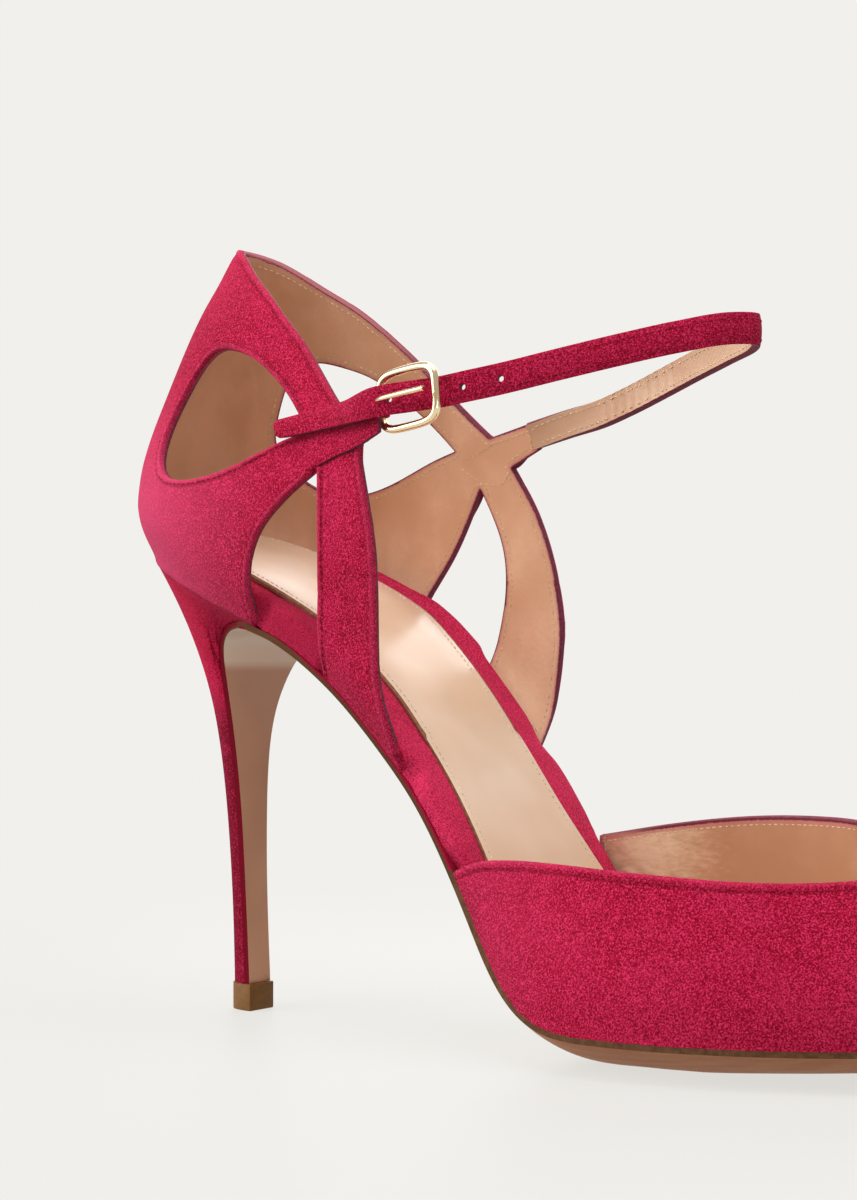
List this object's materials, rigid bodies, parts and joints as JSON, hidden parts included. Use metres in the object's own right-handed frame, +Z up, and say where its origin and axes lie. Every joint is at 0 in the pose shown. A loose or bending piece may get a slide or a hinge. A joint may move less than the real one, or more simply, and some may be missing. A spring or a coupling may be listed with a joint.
{
  "type": "pointed toe pump",
  "caption": "Right stiletto pump in suede with a closed pointed toe, crossing bands with cut-outs at the heel, and a buckled ankle strap.",
  "frame": {"origin": "on the floor, under the middle of the shoe's box", "axes": "+X towards the toe, +Z up, -Y towards the outer side with the buckle"},
  "size_m": [0.2352, 0.0754, 0.178],
  "materials": {
    "raspberry_suede": "napped suede",
    "nude_leather": "smooth satin",
    "sole_leather": "smooth semi-gloss",
    "lift_rubber": "matt",
    "pale_gold": "polished"
  },
  "bodies": {
    "root": {"outsole": "sole_leather", "insole": "raspberry_suede", "sock": "nude_leather", "vamp": "raspberry_suede", "back_quarter": "raspberry_suede", "heel": "raspberry_suede", "top_lift": "lift_rubber", "ankle_strap": "raspberry_suede", "buckle_frame": "pale_gold", "buckle_prong": "pale_gold", "buckle_loop": "raspberry_suede"}
  },
  "joints": []
}
